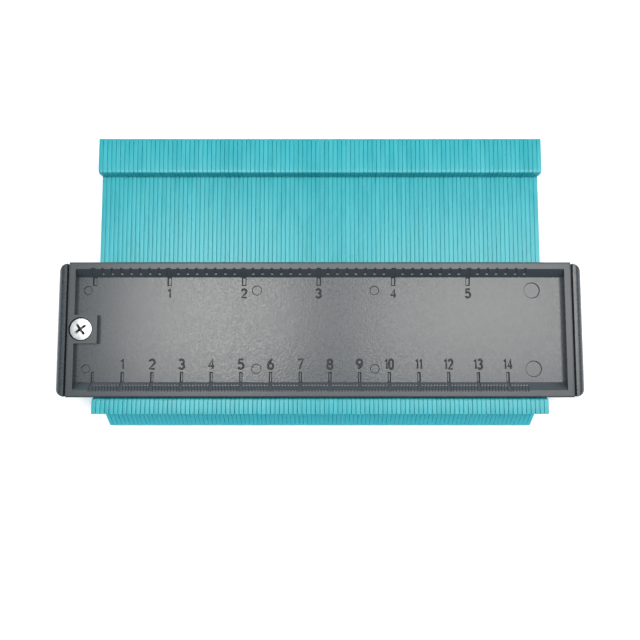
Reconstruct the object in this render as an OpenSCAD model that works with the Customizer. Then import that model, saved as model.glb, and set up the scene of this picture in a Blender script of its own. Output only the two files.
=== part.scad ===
/* [Leaves] */
// Pairs of leaves side by side in the stack
pair_count = 51; // [40:1:54]
// Distance from one leaf to the next
leaf_pitch = 1.5; // [1.2:0.1:2]
// Air between one leaf and the next
leaf_gap = 0.02; // [0.01:0.01:0.1]
// Depth of a leaf's shank, through the thickness of the body
shank_t = 10; // [8:0.5:14]
// How far the heads and feet of the leaves stay below the faces of the body
head_inset = 1.3; // [0.5:0.1:2]
// Length of a head's front face
head_l = 12.2; // [6:0.1:20]
// Length of a foot's front face
foot_l = 5.4; // [4:0.1:12]
// Length of the tracing tip past the foot
foot_tip_l = 5.8; // [3:0.1:8]
// Length of the tracing tip past the head
head_tip_l = 4.8; // [3:0.1:8]
// Depth of the tracing tip where it leaves the head or the foot
tip_root_t = 6.6; // [4:0.1:9]
// Depth of the tracing tip at its edge
tip_edge_t = 0.9; // [0.5:0.1:2]
// How far a leaf slides
leaf_travel = 31; // [15:0.5:50]
// Room between a shoulder of a leaf and the edge of the body, at either end of the slide
stop_gap = 0.15; // [0.1:0.05:1]

/* [Body] */
// Width of the body, along the slide of the leaves
body_w = 45.5; // [40:0.1:60]
// Room between the shanks and the channel, front and back
slide_gap = 0.15; // [0.1:0.05:0.4]
// Room between the stack of leaves and each end of the channel
stack_gap = 0.15; // [0.1:0.05:0.5]
// Thickness of the panel over the guide lips of the channel
panel_t = 2.85; // [2:0.05:4]
// Width of the guide lip at each mouth of the channel, and of the guide rib halfway
lip_w = 3; // [2:0.1:5]
// How far the channel is relieved between the lips and the rib
relief_d = 0.8; // [0.1:0.05:1]
// Radius of the corners of the body, seen from the front
corner_r = 4.3; // [2.2:0.1:5]
// Chamfer along the joint between the halves
seam = 0.25; // [0.1:0.05:0.5]
// Wall of the moulding round the hollow of each end
wall = 1.8; // [1.2:0.1:2]

/* [Face] */
// Depth of the recessed panel below the rim
recess_d = 2; // [1.6:0.1:4]
// Width of the rim round the panel
rim_w = 2.4; // [1.5:0.1:4]
// Radius of the outer edges of the rim
rim_r = 0.6; // [0.3:0.1:1.2]
// Width of the bevelled scale edges, seen from the front
bevel_w = 2.6; // [1.5:0.1:4]
// Width of the groove between the rim and the end bead
groove_w = 1.7; // [0.8:0.1:3]
// Depth of the groove below the rim
groove_d = 4; // [3:0.1:4.5]
// Width of the bead at each end
bead_w = 3.45; // [2.5:0.05:6]
// How far the bead lies below the rim
bead_drop = 2.4; // [0.5:0.1:2.8]
// Radius of the outer edge of the bead
bead_r = 2.6; // [0.5:0.1:3.2]

/* [Scales] */
// Part of the stack that the scales leave free at their far end
scale_rest = 6.9; // [4:0.1:30]
// Width of a millimetre notch
mm_notch_w = 0.5; // [0.3:0.05:0.6]
// Width of an eighth of an inch notch
eighth_notch_w = 0.8; // [0.4:0.1:1.5]
// Width of a centimetre slot
cm_slot_w = 1.1; // [1:0.1:1.8]
// Length of a centimetre slot on the panel
cm_slot_l = 3.4; // [1:0.1:5]
// Width of an inch slot
inch_slot_w = 1.5; // [1:0.1:1.8]
// Length of an inch slot on the panel
inch_slot_l = 2.9; // [1:0.1:5]
// Depth of the slots below the panel
slot_d = 0.5; // [0.1:0.05:0.8]
// How far the walls of a slot lean in, from the panel to its floor
slot_draft = 0.35; // [0.1:0.05:0.45]
// Height of the landing at the foot of the small notches above the panel
notch_rise = 0.65; // [0.2:0.05:1.2]
// How far notches and slots bite into the bevels and the rim
notch_bite = 0.4; // [0.1:0.1:1]

/* [Ejector marks] */
// Depth of the round ejector marks in the panel
mark_d = 0.35; // [0.05:0.05:0.4]
// How far the wall of an ejector mark leans in, from the panel to its floor
mark_draft = 0.25; // [0.05:0.05:0.5]
// Distance of the marks from the long middle line of the panel
mark_y = 13.3; // [6:0.1:15]
// Distance of the first column of marks from the screw end of the recess
mark_first = 3.45; // [2:0.05:8]
// Distance of the last column of marks from the other end of the recess
mark_last = 10.35; // [4:0.05:20]
// Places of the two middle columns of marks, from the centre
mark_mid = [-21.5, 18.5];
// Diameters of the marks, column by column
mark_dia = [3, 3.4, 3.2, 5.5];

/* [Screws] */
// Distance of a screw's axis from the channel of the leaves
screw_in = 3.7; // [3:0.05:6]
// Diameter of the pan head
head_d = 7.2; // [6:0.1:9]
// Height of the pan head
head_h = 2.6; // [2:0.1:3.2]
// Radius of the domed top of the pan head
dome_r = 18; // [7:0.5:24]
// How far the top of the head lies below the rim
head_sink = 0.05; // [0:0.05:0.5]
// Length of the screw under its head
screw_l = 13; // [11:0.1:13.4]
// Core diameter of the screw, which its thread stands on
core_d = 3.3; // [2.5:0.1:3.6]
// Length of the screw's point
point_l = 2.2; // [1:0.1:4]
// Diameter of the flat at the end of the point
point_d = 0.8; // [0.4:0.1:1.5]
// Room round the core in the half that the screw bites into
pilot_gap = 0.05; // [0.02:0.01:0.2]
// Room round the core in the half under the head, for the thread to pass
pass_gap = 0.45; // [0.3:0.05:0.6]
// Room past the end of the screw
end_gap = 0.4; // [0.2:0.1:0.6]
// Room round the head in its pad
head_gap = 0.4; // [0.2:0.05:0.8]
// Wall of the pad between the head's seat and the groove
pad_wall = 0.5; // [0.4:0.1:2]
// Wall of the pad on the side of the panel
pad_in_wall = 1.6; // [0.8:0.1:4]
// Width of the pad along the slide of the leaves
pad_w = 9.6; // [8.6:0.1:14]
// Wall of the boss round a screw
boss_wall = 2.1; // [1.5:0.1:2.5]
// Width of a wing of the cross recess
cross_w = 0.9; // [0.7:0.1:1.5]
// Span of the cross recess at the top
cross_d = 4.6; // [3:0.1:5.5]
// Span of the cross recess at its floor
cross_floor_d = 1.8; // [1.2:0.1:2.5]
// Depth of the cross recess
cross_h = 1.9; // [1:0.1:1.9]
// Turn of the cross recess
cross_turn = 37; // [0:1:89]

/* [Locating pegs] */
// Diameter of the pegs that line up the halves
peg_d = 2.4; // [1.5:0.1:3]
// How far a peg stands into the other half
peg_l = 2.4; // [1:0.1:3]
// Room round a peg in its socket, and past its end
peg_gap = 0.15; // [0.05:0.05:0.3]
// Wall of the boss round a socket
peg_wall = 1.3; // [0.8:0.1:1.8]
// Distance of the pegs from the long middle line of the body
peg_y = 13; // [8:0.1:16]

/* [Hidden] */
$fn = 64;
over = 1; // how far cutting shapes pass the surface that they cut

stack_w = 2 * pair_count * leaf_pitch;
channel_x = stack_w / 2 + stack_gap;
seat_d = head_d + 2 * head_gap;
screw_x = channel_x + screw_in;
rim_x = screw_x + seat_d / 2 + pad_wall;
recess_x = rim_x - rim_w;
half_l = rim_x + groove_w + bead_w;
peg_x = (channel_x + half_l) / 2;
pass_d = core_d + 2 * pass_gap;
boss_d = pass_d + 2 * boss_wall;
socket_d = peg_d + 2 * peg_gap;

edge_y = body_w / 2;
bevel_top_y = edge_y - rim_w;
bevel_foot_y = bevel_top_y - bevel_w;

// Heights in one half, from the joint between the halves out to the face
roof_z = shank_t / 2 + slide_gap;
panel_z = roof_z + panel_t;
half_t = panel_z + recess_d;
groove_z = half_t - groove_d;
bead_z = half_t - bead_drop;
core_z = groove_z - wall;
seat_z = half_t - head_sink - head_h;
pilot_z = screw_l - seat_z + end_gap;

// Places along a leaf at rest, with its foot against the body
foot_shoulder = -edge_y - stop_gap;
foot_end = foot_shoulder - foot_l;
head_shoulder = edge_y + leaf_travel + stop_gap;
head_end = head_shoulder + head_l;
head_t = 2 * (half_t - head_inset);

inch = 25.4;
eighth = inch / 8;
scale_zero = -channel_x;
scale_l = stack_w - scale_rest;

body_colour = "#2b2d30";
leaf_colour = "#4fc4d2";
screw_colour = "silver";

function pair_name(i) = str("leaf_pair_", i < 10 ? "0" : "", i);

// Upright bar on the X axis, chamfered at the joint and rounded at the top
module round_top(w, h, r) {
    polygon([[seam - w / 2, 0], [w / 2 - seam, 0], [w / 2, seam], [-w / 2, seam]]);
    translate([-w / 2, seam]) square([w, h - r - seam]);
    translate([r - w / 2, seam]) square([w - 2 * r, h - seam]);
    for (x = [r - w / 2, w / 2 - r]) translate([x, h - r]) circle(r);
}

// Section of a half along the body: rim, groove and bead
module long_section() {
    difference() {
        round_top(2 * half_l, bead_z, bead_r);
        for (side = [0, 1]) mirror([side, 0])
            translate([rim_x, groove_z]) square([groove_w, groove_d]);
    }
    round_top(2 * rim_x, half_t, rim_r);
}

// Outline of the body from the front, or a line at some distance inside it
module plan(inset) {
    square([2 * (half_l - inset), body_w - 2 * corner_r], center = true);
    square([2 * (half_l - corner_r), body_w - 2 * inset], center = true);
    for (x = [-1, 1], y = [-1, 1])
        translate([x * (half_l - corner_r), y * (edge_y - corner_r)]) circle(corner_r - inset);
}

module half_blank() {
    intersection() {
        rotate([90, 0, 0]) linear_extrude(body_w + 2 * over, center = true) long_section();
        rotate([90, 0, 90]) linear_extrude(2 * half_l + 2 * over, center = true)
            round_top(body_w, half_t, rim_r);
        linear_extrude(half_t) plan(0);
    }
}

// Recess in the face, with the two bevels that carry the scales
module face_recess() {
    rotate([90, 0, 90]) linear_extrude(2 * recess_x, center = true)
        polygon([
            [-bevel_foot_y, panel_z], [bevel_foot_y, panel_z], [bevel_top_y, half_t],
            [bevel_top_y, half_t + over], [-bevel_top_y, half_t + over], [-bevel_top_y, half_t]
        ]);
}

module screw_pad() {
    pad_end = screw_x - seat_d / 2 - pad_in_wall;
    translate([-recess_x - rim_w / 2, -pad_w / 2, panel_z - panel_t / 2])
        cube([recess_x + rim_w / 2 - pad_end, pad_w, recess_d + panel_t / 2]);
}

// Half of the channel for the leaves, relieved between its lips and its middle rib
module leaf_channel() {
    translate([-channel_x, -edge_y - over, -over]) cube([2 * channel_x, body_w + 2 * over, roof_z + over]);
    for (side = [0, 1]) mirror([0, side, 0])
        translate([-channel_x, lip_w / 2, -over])
            cube([2 * channel_x, edge_y - lip_w * 3 / 2, roof_z + relief_d + over]);
}

// Hollow of one end, open at the joint, round its screw boss, peg bosses and rib
module end_hollow() {
    difference() {
        intersection() {
            translate([0, 0, -over]) linear_extrude(core_z + over) plan(wall);
            translate([channel_x + wall, -edge_y, -2 * over])
                cube([half_l - channel_x, body_w, core_z + 3 * over]);
        }
        translate([screw_x, 0, -2 * over]) cylinder(d = boss_d, h = core_z + 3 * over);
        translate([screw_x, -wall / 2, -2 * over]) cube([half_l - screw_x, wall, core_z + 3 * over]);
        for (y = [-1, 1]) translate([peg_x, y * peg_y, -2 * over])
            cylinder(d = socket_d + 2 * peg_wall, h = core_z + 3 * over);
    }
}

// Seat and through hole at the screw end
module screw_hole() {
    translate([-screw_x, 0, seat_z]) cylinder(d = seat_d, h = half_t - seat_z + over);
    translate([-screw_x, 0, -over]) cylinder(d = pass_d, h = seat_z + 2 * over);
}

// Blind hole at the other end, for the other half's screw
module pilot_hole() {
    translate([screw_x, 0, -over]) cylinder(d = core_d + 2 * pilot_gap, h = pilot_z + over);
}

// Floor of a cut in the upper bevel, parallel to the bevel, at a height
function cut_y(z) = bevel_foot_y + notch_bite + (z - panel_z) * bevel_w / recess_d;

module notch(w) {
    land_z = panel_z + notch_rise;
    rotate([90, 0, 90]) linear_extrude(w, center = true)
        polygon([
            [bevel_foot_y, land_z], [cut_y(land_z), land_z], [cut_y(half_t + over), half_t + over],
            [bevel_foot_y, half_t + over]
        ]);
}

// Cut in the upper bevel that runs out into a pocket with leaning walls in the panel
module slot(w, l) {
    floor_z = panel_z - slot_d;
    end_y = bevel_foot_y - l;
    intersection() {
        rotate([90, 0, 0]) linear_extrude(body_w + 2 * over, center = true)
            polygon([
                [slot_draft - w / 2, floor_z], [w / 2 - slot_draft, floor_z], [w / 2, panel_z],
                [w / 2, half_t + over], [-w / 2, half_t + over], [-w / 2, panel_z]
            ]);
        rotate([90, 0, 90]) linear_extrude(2 * w, center = true)
            polygon([
                [end_y + slot_draft, floor_z], [cut_y(floor_z), floor_z],
                [cut_y(half_t + over), half_t + over], [end_y, half_t + over], [end_y, panel_z]
            ]);
    }
}

// A scale on the upper bevel: small notches, with a slot at every so many of them
module scale_marks(step, slot_every, notch_w, slot_w, slot_l) {
    for (k = [0 : floor(scale_l / step)])
        translate([scale_zero + k * step, 0, 0])
            if (k % slot_every == 0) slot(slot_w, slot_l);
            else notch(notch_w);
}

module ejector_marks() {
    columns = concat(mark_first - recess_x, mark_mid, recess_x - mark_last);
    for (i = [0 : len(columns) - 1], y = [-1, 1])
        translate([columns[i], y * mark_y, panel_z - mark_d])
            cylinder(d1 = mark_dia[i] - 2 * mark_draft, d2 = mark_dia[i] + 2 * mark_draft, h = 2 * mark_d);
}

module pegs() {
    for (y = [-1, 1]) translate([peg_x, y * peg_y, -peg_l]) cylinder(d = peg_d, h = peg_l + wall);
}

module peg_sockets() {
    for (y = [-1, 1]) translate([-peg_x, y * peg_y, -over])
        cylinder(d = socket_d, h = peg_l + peg_gap + over);
}

// One moulded half of the body: the joint at z = 0, the face outwards along +Z, the screw at -X
module half_shell() {
    difference() {
        union() {
            difference() {
                half_blank();
                face_recess();
            }
            screw_pad();
        }
        leaf_channel();
        for (side = [0, 1]) mirror([side, 0, 0]) end_hollow();
        screw_hole();
        pilot_hole();
        peg_sockets();
        scale_marks(eighth, 8, eighth_notch_w, inch_slot_w, inch_slot_l);
        mirror([0, 1, 0]) scale_marks(1, 10, mm_notch_w, cm_slot_w, cm_slot_l);
        ejector_marks();
    }
    pegs();
}

// Tapping screw with its head on z = 0 and its point down
module screw() {
    difference() {
        union() {
            intersection() {
                cylinder(d = head_d, h = head_h);
                translate([0, 0, head_h - dome_r]) sphere(dome_r);
            }
            translate([0, 0, point_l - screw_l]) cylinder(d = core_d, h = screw_l - point_l + head_h / 4);
            translate([0, 0, -screw_l]) cylinder(d1 = point_d, d2 = core_d, h = point_l);
        }
        intersection() {
            translate([0, 0, head_h - cross_h]) cylinder(d1 = cross_floor_d, d2 = cross_d, h = cross_h);
            for (turn = [0, 90]) rotate(cross_turn + turn)
                cube([cross_d, cross_w, 2 * head_h], center = true);
        }
    }
}

// Places a piece of one half on the front, and the same piece turned round on the back
module on_front() { translate([0, 0, half_t]) children(); }
module on_back() { translate([0, 0, half_t]) rotate([0, 180, 0]) children(); }

module front_shell() { color(body_colour) on_front() half_shell(); }
module back_shell() { color(body_colour) on_back() half_shell(); }
module front_screw() { color(screw_colour) on_front() translate([-screw_x, 0, seat_z]) screw(); }
module back_screw() { color(screw_colour) on_back() translate([-screw_x, 0, seat_z]) screw(); }

// Side of a leaf: X along the slide, Y through the body from its middle
module leaf_side() {
    head_z = head_t / 2;
    shank_z = shank_t / 2;
    root_z = tip_root_t - head_z;
    tip_z = tip_edge_t - head_z;
    polygon([
        [foot_end - foot_tip_l, -head_z], [foot_shoulder, -head_z], [foot_shoulder, -shank_z],
        [head_shoulder, -shank_z], [head_shoulder, -head_z], [head_end + head_tip_l, -head_z],
        [head_end + head_tip_l, tip_z], [head_end, root_z], [head_end, head_z],
        [head_shoulder, head_z], [head_shoulder, shank_z], [foot_shoulder, shank_z],
        [foot_shoulder, head_z], [foot_end, head_z], [foot_end, root_z], [foot_end - foot_tip_l, tip_z]
    ]);
}

module leaf_pair(i) {
    color(leaf_colour)
    for (k = [2 * i - 2, 2 * i - 1])
        translate([-stack_w / 2 + k * leaf_pitch + leaf_gap / 2, 0, half_t])
            rotate([90, 0, 90]) linear_extrude(leaf_pitch - leaf_gap) leaf_side();
}

front_shell();
back_shell();
front_screw();
back_screw();
for (i = [1 : pair_count]) leaf_pair(i);
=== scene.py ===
import math

import bpy
from mathutils import Matrix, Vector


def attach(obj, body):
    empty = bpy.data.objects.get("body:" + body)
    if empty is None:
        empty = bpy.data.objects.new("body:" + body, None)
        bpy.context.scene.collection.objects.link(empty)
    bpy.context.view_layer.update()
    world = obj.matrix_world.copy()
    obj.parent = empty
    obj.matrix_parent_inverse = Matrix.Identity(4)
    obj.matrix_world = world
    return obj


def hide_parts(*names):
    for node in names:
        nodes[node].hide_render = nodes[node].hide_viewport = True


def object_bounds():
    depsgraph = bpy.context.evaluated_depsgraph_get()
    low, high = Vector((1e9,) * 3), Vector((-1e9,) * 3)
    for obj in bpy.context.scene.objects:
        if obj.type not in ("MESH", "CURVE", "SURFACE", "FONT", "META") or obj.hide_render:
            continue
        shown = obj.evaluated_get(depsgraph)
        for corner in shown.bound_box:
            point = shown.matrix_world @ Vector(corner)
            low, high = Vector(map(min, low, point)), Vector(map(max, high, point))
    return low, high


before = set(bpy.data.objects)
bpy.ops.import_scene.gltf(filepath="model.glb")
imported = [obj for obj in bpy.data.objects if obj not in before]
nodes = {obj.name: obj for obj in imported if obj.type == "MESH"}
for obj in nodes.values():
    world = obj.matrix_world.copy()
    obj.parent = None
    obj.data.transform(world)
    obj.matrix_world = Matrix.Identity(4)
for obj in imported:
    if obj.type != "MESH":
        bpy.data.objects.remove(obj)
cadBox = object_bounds()
bodyMiddle = (cadBox[0].z + cadBox[1].z) / 2
leafNodes = sorted(name for name in nodes if name.startswith("leaf_pair"))
mm = 0.001
tiny = 0.01 * mm    # places closer than this are the same
weld = 0.001 * mm   # points closer than this are merged
squareOn = 0.9      # a face looks along an axis if its normal goes this far along it
print("frame loaded:", len(nodes), "nodes,", len(leafNodes), "pairs of leaves")


# small helpers for working by hand in edit mode

def levels(node, axis):
    return sorted({round(point.co[axis], 6) for point in nodes[node].data.vertices})  # to a micrometre


def near(first, second):
    return abs(first - second) < tiny


def takeUp(piece):
    if bpy.context.object and bpy.context.object.mode != "OBJECT":
        bpy.ops.object.mode_set(mode="OBJECT")
    bpy.ops.object.select_all(action="DESELECT")
    piece.select_set(True)
    bpy.context.view_layer.objects.active = piece


def pick(piece, kind, test):
    takeUp(piece)
    bpy.ops.object.mode_set(mode="EDIT")
    bpy.ops.mesh.select_mode(type=kind)
    bpy.ops.mesh.select_all(action="DESELECT")
    bpy.ops.object.mode_set(mode="OBJECT")
    points = piece.data.vertices
    if kind == "FACE":
        for face in piece.data.polygons:
            face.select = test(face.center, face.normal)
    if kind == "EDGE":
        for edge in piece.data.edges:
            edge.select = test(points[edge.vertices[0]].co, points[edge.vertices[1]].co)
    if kind == "VERT":
        for point in points:
            point.select = test(point.co)
    bpy.ops.object.mode_set(mode="EDIT")


def pickAll(piece):
    pick(piece, "VERT", lambda point: True)


def putDown():
    bpy.ops.object.mode_set(mode="OBJECT")
    bpy.ops.object.select_all(action="DESELECT")


def pull(x, y, z):
    bpy.ops.mesh.extrude_region_move(TRANSFORM_OT_translate={"value": (x, y, z)})


def roundEdges(width, steps):
    bpy.ops.mesh.bevel(offset=width, segments=steps, affect="EDGES", clamp_overlap=True)


def mergePoints():
    bpy.ops.mesh.select_all(action="SELECT")
    bpy.ops.mesh.remove_doubles(threshold=weld)


def applyPlace():
    bpy.ops.object.transform_apply(location=True, rotation=True, scale=True)


def newPiece(name, mesh):
    piece = bpy.data.objects.new(name, mesh)
    bpy.context.scene.collection.objects.link(piece)
    return piece


def smoothEdges(piece, angle):
    takeUp(piece)
    bpy.ops.object.shade_smooth_by_angle(angle=angle)
    bpy.ops.object.modifier_add(type="WEIGHTED_NORMAL")  # keeps the broad faces flat
    piece.modifiers[-1].keep_sharp = True
    bpy.ops.object.modifier_apply(modifier=piece.modifiers[-1].name)


def dress(piece, material, slot, body, *stoodFor):
    piece.data.materials.clear()
    piece.data.materials.append(material)
    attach(piece, body)
    if stoodFor:
        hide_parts(*stoodFor)


# where the first pair of leaves has its faces, from left to right, foot to head and back to front

leafLeft, leafRight, nextLeft = levels(leafNodes[0], 0)[:3]
footTip, footEnd, footShoulder, headShoulder, headEnd, headTip = levels(leafNodes[0], 1)
headBack, tipEdge, shankBack, tipRoot, shankFront, headFront = levels(leafNodes[0], 2)
leafPitch = nextLeft - leafLeft


# building blocks of the finishes

def newMaterial(name):
    material = bpy.data.materials.new(name)
    material.use_nodes = True
    tree = material.node_tree
    shader = tree.nodes["Principled BSDF"]
    place = tree.nodes.new("ShaderNodeTexCoord").outputs["Object"]
    return material, tree, shader, place


def noise(tree, place, scale, detail, stretch=(1, 1, 1)):
    mapping = tree.nodes.new("ShaderNodeMapping")
    mapping.inputs["Scale"].default_value = stretch
    tree.links.new(place, mapping.inputs["Vector"])
    grain = tree.nodes.new("ShaderNodeTexNoise")
    grain.inputs["Scale"].default_value = scale
    grain.inputs["Detail"].default_value = detail
    tree.links.new(mapping.outputs["Vector"], grain.inputs["Vector"])
    return grain.outputs["Fac"]


def speckle(tree, place, scale):
    cells = tree.nodes.new("ShaderNodeTexVoronoi")
    cells.inputs["Scale"].default_value = scale
    tree.links.new(place, cells.inputs["Vector"])
    parts = tree.nodes.new("ShaderNodeSeparateColor")
    tree.links.new(cells.outputs["Color"], parts.inputs["Color"])
    return parts.outputs["Red"]  # one chance number for each cell


def span(tree, value, low, high, fromLow=0.3, fromHigh=0.7):  # noise keeps mostly within 0.3 to 0.7
    node = tree.nodes.new("ShaderNodeMapRange")
    node.inputs["From Min"].default_value = fromLow
    node.inputs["From Max"].default_value = fromHigh
    node.inputs["To Min"].default_value = low
    node.inputs["To Max"].default_value = high
    tree.links.new(value, node.inputs["Value"])
    return node.outputs["Result"]


def sumUp(tree, operation, first, second):
    node = tree.nodes.new("ShaderNodeMath")
    node.operation = operation
    tree.links.new(first, node.inputs[0])
    if isinstance(second, (int, float)):
        node.inputs[1].default_value = second
    else:
        tree.links.new(second, node.inputs[1])
    return node.outputs["Value"]


def blendColour(tree, factor, first, second):
    node = tree.nodes.new("ShaderNodeMix")
    node.data_type = "RGBA"
    for socket, colour in ((node.inputs["A"], first), (node.inputs["B"], second)):
        if isinstance(colour, tuple):
            socket.default_value = (*colour, 1)
        else:
            tree.links.new(colour, socket)
    tree.links.new(factor, node.inputs["Factor"])
    return node.outputs["Result"]


def fromMiddle(tree, place, axis, middle):
    parts = tree.nodes.new("ShaderNodeSeparateXYZ")
    tree.links.new(place, parts.inputs["Vector"])
    return sumUp(tree, "ABSOLUTE", sumUp(tree, "SUBTRACT", parts.outputs[axis], middle), 0)


def bump(tree, shader, height, distance, strength):
    node = tree.nodes.new("ShaderNodeBump")
    node.inputs["Distance"].default_value = distance
    node.inputs["Strength"].default_value = strength
    tree.links.new(height, node.inputs["Height"])
    tree.links.new(node.outputs["Normal"], shader.inputs["Normal"])


# black moulded plastic of the body, with heights measured from its middle

bodyFinish = {
    "dark": (0.024, 0.030, 0.036),
    "light": (0.035, 0.042, 0.048),
    "specular": 0.62,
    "roughness": (0.26, 0.32),
    "cloudScale": 38,       # broad change of tone
    "cloudDetail": 4,
    "cloudShare": 0.7,      # how much of the change from dark to light it makes
    "grainScale": 1800,     # spark-eroded grain of the panel
    "grainDetail": 0,
    "grainShare": 0.3,
    "grainDepth": 0.07 * mm,
    "grainStrength": 0.5,
    "grainMiddle": -6 * mm,             # along the body, the grain is deepest here
    "grainEnds": (22 * mm, 50 * mm),    # from there, it wears off between these
    "grainWorn": 0.15,                  # what is left of it
    "speckleScale": 2300,
    "speckleShare": 0.13,   # how far the roughness changes from speck to speck
    "panelLow": (7.4 * mm, 7.6 * mm),   # the grain sets in between these heights
    "panelHigh": (8.2 * mm, 8.6 * mm),  # and it is gone between these
    "rimHeight": (8.4 * mm, 9.6 * mm),  # the rim's polish sets in between these
    "rimRougher": 0.10,     # the rim is less polished than the panel
}


def bodyPlastic():
    finish = bodyFinish
    material, tree, shader, place = newMaterial("bodyPlastic")
    cloud = noise(tree, place, finish["cloudScale"], finish["cloudDetail"])
    grain = noise(tree, place, finish["grainScale"], finish["grainDetail"])
    cloudTone = span(tree, cloud, 0, finish["cloudShare"])
    tone = sumUp(tree, "ADD", cloudTone, span(tree, grain, 0, finish["grainShare"]))
    tree.links.new(blendColour(tree, tone, finish["dark"], finish["light"]), shader.inputs["Base Color"])
    shader.inputs["Specular IOR Level"].default_value = finish["specular"]

    height = fromMiddle(tree, place, "Z", bodyMiddle)
    above = span(tree, height, 0, 1, *finish["panelLow"])
    below = span(tree, height, 1, 0, *finish["panelHigh"])
    panel = sumUp(tree, "MULTIPLY", above, below)  # the rim and the beads are smooth
    along = fromMiddle(tree, place, "X", finish["grainMiddle"])
    worn = span(tree, along, 1, finish["grainWorn"], *finish["grainEnds"])
    grained = sumUp(tree, "MULTIPLY", panel, worn)

    speckHalf = finish["speckleShare"] / 2
    specks = span(tree, speckle(tree, place, finish["speckleScale"]), -speckHalf, speckHalf, 0, 1)
    rim = span(tree, height, 0, finish["rimRougher"], *finish["rimHeight"])
    rough = sumUp(tree, "ADD", span(tree, grain, *finish["roughness"]), rim)
    rough = sumUp(tree, "ADD", rough, sumUp(tree, "MULTIPLY", specks, grained))
    tree.links.new(rough, shader.inputs["Roughness"])
    ridges = sumUp(tree, "MULTIPLY", grain, grained)
    bump(tree, shader, ridges, finish["grainDepth"], finish["grainStrength"])
    return material


# matt plastic of the numerals

numeralFinish = {
    "dark": (0.034, 0.036, 0.038),
    "light": (0.048, 0.050, 0.052),
    "specular": 0.3,
    "roughness": (0.58, 0.70),
    "grainScale": 2400,
    "grainDetail": 2,
}


def numeralPlastic():
    finish = numeralFinish
    material, tree, shader, place = newMaterial("numeralPlastic")
    grain = noise(tree, place, finish["grainScale"], finish["grainDetail"])
    tree.links.new(blendColour(tree, grain, finish["dark"], finish["light"]), shader.inputs["Base Color"])
    tree.links.new(span(tree, grain, *finish["roughness"]), shader.inputs["Roughness"])
    shader.inputs["Specular IOR Level"].default_value = finish["specular"]
    return material


# teal plastic of the leaves

leafFinish = {
    "deep": (0.009, 0.283, 0.324),
    "pale": (0.050, 0.418, 0.468),
    "specular": 0.35,
    "roughness": (0.24, 0.32),
    "middleTone": 0.5,      # halfway from deep to pale
    "leafShare": 0.25,      # how far the tone changes from leaf to leaf
    "streakShare": 0.35,    # and along a leaf
    "streakScale": 60,      # flow lines along a leaf
    "streakDetail": 3,
    "streakStretch": (6, 1, 1),
    "tip": (0.004, 0.472, 0.548),   # painted light: the thin sloped tips are painted a brighter, purer teal, standing in for light that gets through them
    "tipLightShare": 0.85,
    "tipLightStart": 1 * mm,     # the tips take on their painted light within this length
    "grainScale": 1800,
    "grainDetail": 2,
    "grainDepth": 0.01 * mm,
    "grainStrength": 0.4,
}


def leafPlastic():
    finish = leafFinish
    material, tree, shader, place = newMaterial("leafPlastic")
    across = tree.nodes.new("ShaderNodeSeparateXYZ")
    tree.links.new(place, across.inputs["Vector"])
    number = sumUp(tree, "FLOOR", sumUp(tree, "DIVIDE", across.outputs["X"], leafPitch), 0)
    chance = tree.nodes.new("ShaderNodeTexWhiteNoise")  # one tone for each leaf
    chance.noise_dimensions = "1D"
    tree.links.new(number, chance.inputs["W"])
    streak = noise(tree, place, finish["streakScale"], finish["streakDetail"], finish["streakStretch"])

    middle = finish["middleTone"]
    leafHalf = finish["leafShare"] / 2
    streakHalf = finish["streakShare"] / 2
    leafTone = span(tree, chance.outputs["Value"], middle - leafHalf, middle + leafHalf, 0, 1)
    tone = sumUp(tree, "ADD", leafTone, span(tree, streak, -streakHalf, streakHalf))
    colour = blendColour(tree, tone, finish["deep"], finish["pale"])
    half = (headEnd - footEnd) / 2
    along = fromMiddle(tree, place, "Y", footEnd + half)
    # painted light: the tips are blended to the brighter, purer tip teal
    paintedTipLight = span(tree, along, 0, finish["tipLightShare"], half, half + finish["tipLightStart"])
    tree.links.new(blendColour(tree, paintedTipLight, colour, finish["tip"]), shader.inputs["Base Color"])

    tree.links.new(span(tree, streak, *finish["roughness"]), shader.inputs["Roughness"])
    shader.inputs["Specular IOR Level"].default_value = finish["specular"]
    grain = noise(tree, place, finish["grainScale"], finish["grainDetail"])
    bump(tree, shader, grain, finish["grainDepth"], finish["grainStrength"])
    return material


# zinc-plated steel of the screws, with painted shade in the cross recess and on the sides of the heads

screwFinish = {
    # painted shade: this dark colour goes into the cross recess and onto the head's side, where shade
    # falls
    "paintedRecessShade": (0.10, 0.10, 0.10),
    "bright": (0.79, 0.79, 0.77),
    "recessShadeHeights": (9.2 * mm, 9.5 * mm),     # from the middle of the body, the painted shade gives way to bright zinc between these heights
    "roughness": (0.38, 0.50),
    "grainScale": 900,
    "grainDetail": 4,
    "grainShare": 0.1,      # how much of the change from dull to bright it makes
}


def screwSteel():
    finish = screwFinish
    material, tree, shader, place = newMaterial("screwSteel")
    grain = noise(tree, place, finish["grainScale"], finish["grainDetail"])
    height = fromMiddle(tree, place, "Z", bodyMiddle)
    # painted shade: below these heights, in the cross recess and on the head's side, the steel is painted
    # dark
    unshadedShare = span(tree, height, 0, 1 - finish["grainShare"], *finish["recessShadeHeights"])
    tone = sumUp(tree, "ADD", unshadedShare, span(tree, grain, 0, finish["grainShare"]))
    shader.inputs["Metallic"].default_value = 1
    tree.links.new(blendColour(tree, tone, finish["paintedRecessShade"], finish["bright"]), shader.inputs["Base Color"])
    tree.links.new(span(tree, grain, *finish["roughness"]), shader.inputs["Roughness"])
    return material


blackPlastic = bodyPlastic()
mattPlastic = numeralPlastic()
tealPlastic = leafPlastic()
zincSteel = screwSteel()
print("finishes made")


# the two moulded halves, with every sharp edge of the mould eased

shellSettings = {
    "edge": 0.09 * mm,
    "edgeSteps": 2,
    "sharp": math.radians(35),
    "flat": math.radians(0.3),
}


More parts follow.
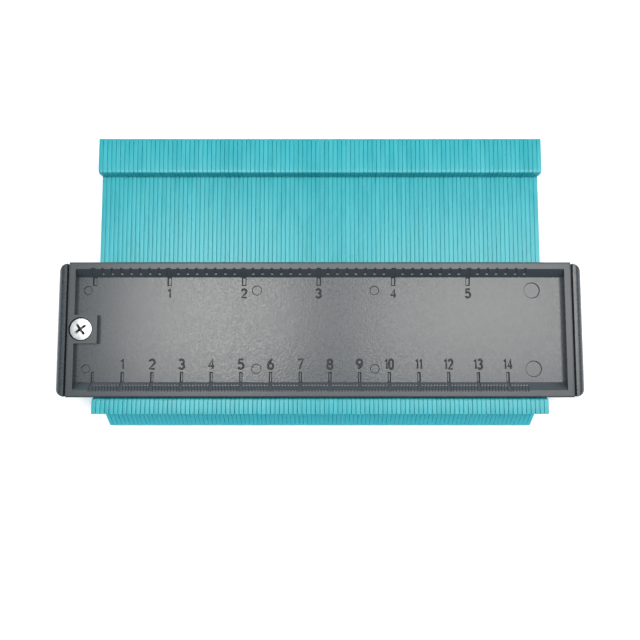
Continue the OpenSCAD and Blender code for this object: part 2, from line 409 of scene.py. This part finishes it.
def shell(name, node):
    settings = shellSettings
    piece = newPiece(name, nodes[node].data.copy())
    pickAll(piece)
    bpy.ops.mesh.customdata_custom_splitnormals_clear()
    mergePoints()
    bpy.ops.mesh.dissolve_limited(angle_limit=settings["flat"])
    bpy.ops.mesh.select_mode(type="EDGE")
    bpy.ops.mesh.select_all(action="DESELECT")
    bpy.ops.mesh.edges_select_sharp(sharpness=settings["sharp"])
    roundEdges(settings["edge"], settings["edgeSteps"])
    mergePoints()
    putDown()
    smoothEdges(piece, settings["sharp"])
    dress(piece, blackPlastic, "body_plastic", "body", node)
    print(name, len(piece.data.polygons), "faces")


shell("frontHalf", "front_shell")
shell("backHalf", "back_shell")


# one leaf modelled from a block, then a pair, then a copy for each pair in the stack

leafSettings = {
    "edge": 0.17 * mm,
    "edgeSteps": 2,
    "shoulder": 1.3 * mm,   # rounding of the shoulders of a head and a foot
    "shoulderSteps": 2,
    "sharp": math.radians(40),
    "flat": math.radians(1),
}


def growEnd(leaf, shoulder, end):
    pick(leaf, "FACE", lambda centre, normal: near(centre.y, shoulder) and abs(normal.y) > squareOn)
    pull(0, end - shoulder, 0)
    middle = (shoulder + end) / 2
    for shank, head in ((shankBack, headBack), (shankFront, headFront)):
        pick(leaf, "FACE", lambda centre, normal: near(centre.z, shank) and near(centre.y, middle))
        pull(0, 0, head - shank)


def growTip(leaf, end, tip):
    pick(leaf, "FACE", lambda centre, normal: near(centre.y, end) and centre.z < tipRoot
         and abs(normal.y) > squareOn)
    pull(0, tip - end, 0)
    pick(leaf, "VERT", lambda point: near(point.y, tip) and near(point.z, tipRoot))
    bpy.ops.transform.translate(value=(0, 0, tipEdge - tipRoot))  # the tip slopes down to its edge


def onShoulder(start, end):
    atShoulder = near(start.y, headShoulder) or near(start.y, footShoulder)
    atFace = near(start.z, headBack) or near(start.z, headFront)
    return not near(start.x, end.x) and atShoulder and atFace


def leafPair():
    settings = leafSettings
    shank = ((leafLeft, leafRight), (footShoulder, headShoulder), (shankBack, shankFront))
    bpy.ops.object.select_all(action="DESELECT")
    bpy.ops.mesh.primitive_cube_add(
        size=1,
        location=[(low + high) / 2 for low, high in shank],
        scale=[high - low for low, high in shank])
    leaf = bpy.context.object
    applyPlace()
    growEnd(leaf, headShoulder, headEnd)
    growEnd(leaf, footShoulder, footEnd)
    pickAll(leaf)
    bpy.ops.mesh.dissolve_limited(angle_limit=settings["flat"])
    bpy.ops.mesh.select_all(action="SELECT")
    bpy.ops.mesh.bisect(plane_co=(0, 0, tipRoot), plane_no=(0, 0, 1))
    growTip(leaf, headEnd, headTip)
    growTip(leaf, footEnd, footTip)
    pickAll(leaf)
    mergePoints()
    bpy.ops.mesh.dissolve_limited(angle_limit=settings["flat"])
    bpy.ops.mesh.normals_make_consistent(inside=False)
    pick(leaf, "EDGE", onShoulder)
    roundEdges(settings["shoulder"], settings["shoulderSteps"])
    pick(leaf, "EDGE", lambda start, end: near(start.x, end.x))  # the outlines of the two sides
    roundEdges(settings["edge"], settings["edgeSteps"])
    putDown()
    smoothEdges(leaf, settings["sharp"])
    bpy.ops.object.duplicate()
    bpy.ops.transform.translate(value=(leafPitch, 0, 0))
    applyPlace()
    leaf.select_set(True)
    bpy.ops.object.join()
    return bpy.context.object


pairModel = leafPair()
for node in leafNodes:
    pairMesh = pairModel.data.copy()
    pairMesh.transform(Matrix.Translation((levels(node, 0)[0] - leafLeft, 0, 0)))
    piece = newPiece(node.replace("leaf_pair_", "leafPair"), pairMesh)
    dress(piece, tealPlastic, "leaf_plastic", node, node)
print("leaves:", 2 * len(leafNodes), "of", len(pairModel.data.polygons) // 2, "faces")
bpy.data.objects.remove(pairModel)


# numerals in raised single strokes, as an engraving cutter leaves them in the mould

numeralSettings = {
    "stroke": 0.36 * mm,            # half the width of a stroke
    "arcStep": 20,                  # degrees from point to point of a round stroke
    "arcLeast": 4,                  # steps in the shortest arc
    "panel": 18 * mm,               # height of the panel they stand on
    "zero": -76.65 * mm,            # where both scales start
    "aspect": 0.56,                 # width of a digit over its height
    "pairAspect": 0.42,             # the same where two digits stand together
    "slim": 0.5,                    # width of a 1, as a share of another digit's
    "gap": 0.2,                     # between two digits, as a share of the height
    "inches": {"step": 25.4 * mm, "last": 5, "height": 2.85 * mm, "middle": 12.3 * mm},
    "centimetres": {"step": 10 * mm, "last": 14, "height": 3.15 * mm, "middle": -11.7 * mm},
}


def arc(middleX, middleY, radiusX, radiusY, start, end):
    steps = max(numeralSettings["arcLeast"], round(abs(end - start) / numeralSettings["arcStep"]))
    turns = [math.radians(start + (end - start) * step / steps) for step in range(steps + 1)]
    return [(middleX + radiusX * math.cos(turn), middleY + radiusY * math.sin(turn)) for turn in turns]


def halfTurn(stroke):
    return [(1 - x, 1 - y) for x, y in stroke]


sixStroke = [(0.80, 1.0)] + arc(0.95, 0.30, 0.95, 0.65, 120, 180) + arc(0.5, 0.30, 0.5, 0.30, 180, 540)
digitStrokes = {  # in a box of 1 by 1
    "0": [arc(0.5, 0.70, 0.5, 0.30, 0, 180) + arc(0.5, 0.30, 0.5, 0.30, 180, 360) + [(1.0, 0.70)]],
    "1": [[(0.0, 0.78), (0.8, 1.0), (0.8, 0.0)]],
    "2": [arc(0.5, 0.70, 0.5, 0.30, 165, -30) + [(0.0, 0.0), (1.0, 0.0)]],
    "3": [arc(0.46, 0.75, 0.44, 0.25, 155, -90) + arc(0.46, 0.25, 0.54, 0.25, 90, -155)],
    "4": [[(0.75, 0.0), (0.75, 1.0), (0.0, 0.28), (1.05, 0.28)]],
    "5": [[(0.95, 1.0), (0.15, 1.0), (0.08, 0.56)] + arc(0.46, 0.32, 0.54, 0.32, 115, -150)],
    "6": [sixStroke],
    "7": [[(0.0, 1.0), (1.0, 1.0), (0.35, 0.0)]],
    "8": [arc(0.5, 0.75, 0.42, 0.25, -90, 270), arc(0.5, 0.25, 0.5, 0.25, -90, 270)],
    "9": [halfTurn(sixStroke)],
}


def writeNumber(strokes, number, scale):
    settings = numeralSettings
    digits = str(number)
    high = scale["height"]
    low = scale["middle"] - high / 2
    gap = high * settings["gap"]
    wide = high * (settings["aspect"] if len(digits) == 1 else settings["pairAspect"])
    widths = [wide * settings["slim"] if digit == "1" else wide for digit in digits]
    total = sum(widths) + gap * (len(digits) - 1)
    left = settings["zero"] + number * scale["step"] - total / 2
    for digit, width in zip(digits, widths):
        for stroke in digitStrokes[digit]:
            spline = strokes.splines.new("POLY")
            spline.points.add(len(stroke) - 1)
            for point, (x, y) in zip(spline.points, stroke):
                point.co = (left + x * width, low + y * high, settings["panel"], 1)
        left += width + gap


def numerals():
    strokes = bpy.data.curves.new("strokes", "CURVE")
    strokes.dimensions = "3D"
    strokes.bevel_depth = numeralSettings["stroke"]
    strokes.bevel_resolution = 0  # a plain ridge
    strokes.use_fill_caps = True
    for scale in (numeralSettings["inches"], numeralSettings["centimetres"]):
        for number in range(1, scale["last"] + 1):
            writeNumber(strokes, number, scale)
    piece = newPiece("frontNumerals", strokes)
    takeUp(piece)
    bpy.ops.object.convert(target="MESH")
    return bpy.context.object


frontNumerals = numerals()
turnRound = (Matrix.Translation((0, 0, bodyMiddle)) @ Matrix.Rotation(math.pi, 4, "Y")
             @ Matrix.Translation((0, 0, -bodyMiddle)))
backMesh = frontNumerals.data.copy()
backMesh.transform(turnRound)
backNumerals = newPiece("backNumerals", backMesh)
for piece in (frontNumerals, backNumerals):
    dress(piece, mattPlastic, "body_plastic", "body")
print("numerals:", len(frontNumerals.data.polygons), "faces on each side")


# the screws keep their solids and get their finish

for node in ("front_screw", "back_screw"):
    nodes[node].data.materials.clear()
    nodes[node].data.materials.append(zincSteel)
print("screws finished")


# floor, light and camera

stageSettings = {
    "floorSize": 6.0,
    "floorDrop": 0.1 * mm,              # so that the floor and the body don't share a plane
    "floorColour": (0.90, 0.90, 0.90),
    "floorRoughness": 0.9,
    "floorGlow": (0.25, 0.62),          # near and far, not a light: seen by the camera and in reflections
    "floorFar": (0.22, 0.80),           # the glow changes between these distances
    "worldNear": (0.68, 0.91, 1.12),    # colour on the near side
    "worldFar": (0.86, 0.975, 1.10),    # and on the far one
    "worldTurn": (-0.7, 0.1),           # the near side turns into the far one between these
    "worldSides": (0.75, 1.8),          # how bright the two sides are
    "worldPale": 1.0,                   # brightness at the horizon
    "worldDim": 0.2,                    # above the pale band
    "worldTop": 0.32,                   # overhead
    "worldBand": (0.19, 0.37),          # sine of the height, the pale band ends between these
    "softboxColour": (1.0, 0.985, 0.94),
    "softboxes": {
        "leftSoftbox": {"place": (-0.116, 0.046, 0.4), "size": (0.190, 0.198), "watts": 0.96},
        "rightSoftbox": {"place": (0.185, 0.046, 0.4), "size": (0.292, 0.198), "watts": 1.212},
    },
    "cameraPlace": (0, -9.33 * mm, 194.28 * mm),
    "cameraTilt": 0.071,
    "cameraFocus": 520.96,              # in pixels of a picture as wide as the next value
    "pictureWidth": 640,
    "cameraNear": 10 * mm,              # nothing closer than this is drawn
}


def seenRays(tree):
    path = tree.nodes.new("ShaderNodeLightPath")
    seen = sumUp(tree, "MAXIMUM", path.outputs["Is Camera Ray"], path.outputs["Is Glossy Ray"])
    return sumUp(tree, "MAXIMUM", seen, path.outputs["Is Transmission Ray"])


def makeFloor():
    settings = stageSettings
    bpy.ops.object.select_all(action="DESELECT")
    bpy.ops.mesh.primitive_plane_add(size=settings["floorSize"], location=(0, 0, -settings["floorDrop"]))
    floor = bpy.context.object
    floor.name = "floor"
    material, tree, shader, place = newMaterial("paleFloor")
    shader.inputs["Base Color"].default_value = (*settings["floorColour"], 1)
    shader.inputs["Roughness"].default_value = settings["floorRoughness"]
    shader.inputs["Specular IOR Level"].default_value = 0
    shader.inputs["Emission Color"].default_value = (1, 1, 1, 1)
    away = tree.nodes.new("ShaderNodeVectorMath")
    away.operation = "LENGTH"
    tree.links.new(place, away.inputs[0])
    glow = span(tree, away.outputs["Value"], *settings["floorGlow"], *settings["floorFar"])
    tree.links.new(sumUp(tree, "MULTIPLY", seenRays(tree), glow), shader.inputs["Emission Strength"])
    floor.data.materials.append(material)


def makeWorld():
    settings = stageSettings
    world = bpy.data.worlds.new("paleRoom")
    world.use_nodes = True
    tree = world.node_tree
    way = tree.nodes.new("ShaderNodeSeparateXYZ")
    tree.links.new(tree.nodes.new("ShaderNodeTexCoord").outputs["Generated"], way.inputs["Vector"])
    pale, dim, top = settings["worldPale"], settings["worldDim"], settings["worldTop"]
    band = span(tree, way.outputs["Z"], pale, dim, *settings["worldBand"])
    farSide = span(tree, way.outputs["Y"], 0, 1, *settings["worldTurn"])
    band = sumUp(tree, "MULTIPLY", band, span(tree, farSide, *settings["worldSides"], 0, 1))
    dome = span(tree, way.outputs["Z"], 0, top - dim, settings["worldBand"][1], 1)
    background = tree.nodes["Background"]
    colour = blendColour(tree, farSide, settings["worldNear"], settings["worldFar"])
    tree.links.new(colour, background.inputs["Color"])
    tree.links.new(sumUp(tree, "ADD", band, dome), background.inputs["Strength"])
    bpy.context.scene.world = world


def makeLights():
    for name, softbox in stageSettings["softboxes"].items():
        lamp = bpy.data.lights.new(name, "AREA")
        lamp.shape = "RECTANGLE"
        lamp.size, lamp.size_y = softbox["size"]
        lamp.energy = softbox["watts"]
        lamp.color = stageSettings["softboxColour"]
        light = bpy.data.objects.new(name, lamp)
        light.location = softbox["place"]
        bpy.context.scene.collection.objects.link(light)


def makeCamera():
    settings = stageSettings
    lens = bpy.data.cameras.new("camera")
    lens.lens = settings["cameraFocus"] / settings["pictureWidth"] * lens.sensor_width
    lens.clip_start = settings["cameraNear"]
    camera = bpy.data.objects.new("camera", lens)
    camera.location = settings["cameraPlace"]
    camera.rotation_euler = (settings["cameraTilt"], 0, 0)
    bpy.context.scene.collection.objects.link(camera)
    bpy.context.scene.camera = camera


makeFloor()
makeWorld()
makeLights()
makeCamera()
bpy.context.scene.view_settings.view_transform = "Standard"
print("stage set")
